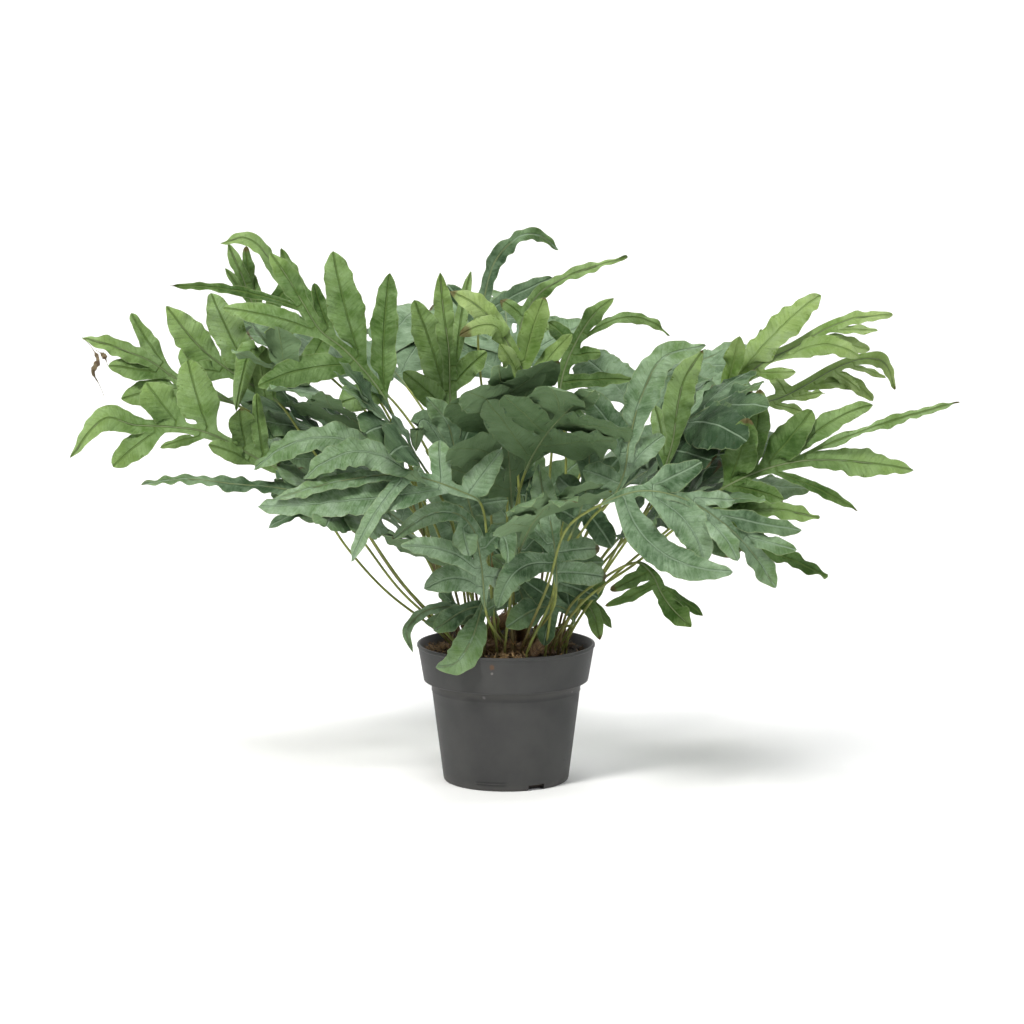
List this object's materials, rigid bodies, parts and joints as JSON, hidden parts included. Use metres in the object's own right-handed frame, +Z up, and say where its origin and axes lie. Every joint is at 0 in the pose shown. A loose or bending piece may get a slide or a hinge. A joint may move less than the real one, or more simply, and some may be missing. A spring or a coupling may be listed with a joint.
{
  "type": "potted blue star fern",
  "caption": "Blue star fern with arching fronds cut to the rib in waved lobes, on creeping rhizomes in the soil of a tapered round plastic pot with a stepped collar.",
  "frame": {"origin": "centre of the pot's flat underside, on the surface that it stands on", "axes": "+Z up along the pot's axis, +X to the right along the foliage's longest spread, +Y away from the side that the picture shows"},
  "size_m": [0.9058, 0.6842, 0.5819],
  "materials": {
    "pot": "matte dark grey, faintly warm",
    "soil": "moist peat and coir with bark crumbs",
    "rhizome": "golden-brown hairlike scales",
    "frond_blue": "leathery, blue-green with a powdery bloom",
    "frond_green": "leathery, satin mid green",
    "frond_fresh": "young, satin yellow-green"
  },
  "bodies": {
    "root": {"frond_back_right": "frond_green", "frond_centre_arch": "frond_blue", "frond_centre_wavy": "frond_green", "frond_centre_yellow": "frond_fresh", "frond_front_left": "frond_blue", "frond_front_low": "frond_blue", "frond_front_right": "frond_blue", "frond_front_right_small": "frond_blue", "frond_front_spear": "frond_blue", "frond_front_up": "frond_blue", "frond_inner_01": "frond_blue", "frond_inner_02": "frond_blue", "frond_inner_03": "frond_blue", "frond_inner_04": "frond_blue", "frond_inner_05": "frond_blue", "frond_inner_06": "frond_blue", "frond_inner_07": "frond_blue", "frond_inner_08": "frond_blue", "frond_inner_09": "frond_blue", "frond_inner_10": "frond_blue", "frond_inner_11": "frond_blue", "frond_inner_12": "frond_blue", "frond_inner_13": "frond_blue", "frond_inner_14": "frond_blue", "frond_inner_15": "frond_blue", "frond_inner_16": "frond_blue", "frond_inner_17": "frond_blue", "frond_inner_18": "frond_blue", "frond_inner_19": "frond_blue", "frond_inner_20": "frond_blue", "frond_inner_21": "frond_blue", "frond_inner_22": "frond_blue", "frond_inner_23": "frond_blue", "frond_left_arch": "frond_green", "frond_left_broad": "frond_green", "frond_left_grey": "frond_blue", "frond_left_low": "frond_green", "frond_left_mid": "frond_green", "frond_left_sprig": "frond_green", "frond_left_upper": "frond_green", "frond_low_left": "frond_blue", "frond_low_mid": "frond_blue", "frond_low_right": "frond_blue", "frond_mid_blue": "frond_blue", "frond_mid_right": "frond_blue", "frond_right_drooping": "frond_green", "frond_right_low": "frond_green", "frond_right_lower": "frond_green", "frond_right_mid": "frond_fresh", "frond_right_straps": "frond_fresh", "frond_right_upper": "frond_fresh", "frond_rim_curl": "frond_blue", "frond_rim_leaf": "frond_fresh", "frond_rim_right": "frond_green", "frond_top_mid": "frond_green", "pot": "pot", "rhizome_front": "rhizome", "rhizome_hump": "rhizome", "rhizome_right": "rhizome", "soil": "soil"}
  },
  "joints": []
}
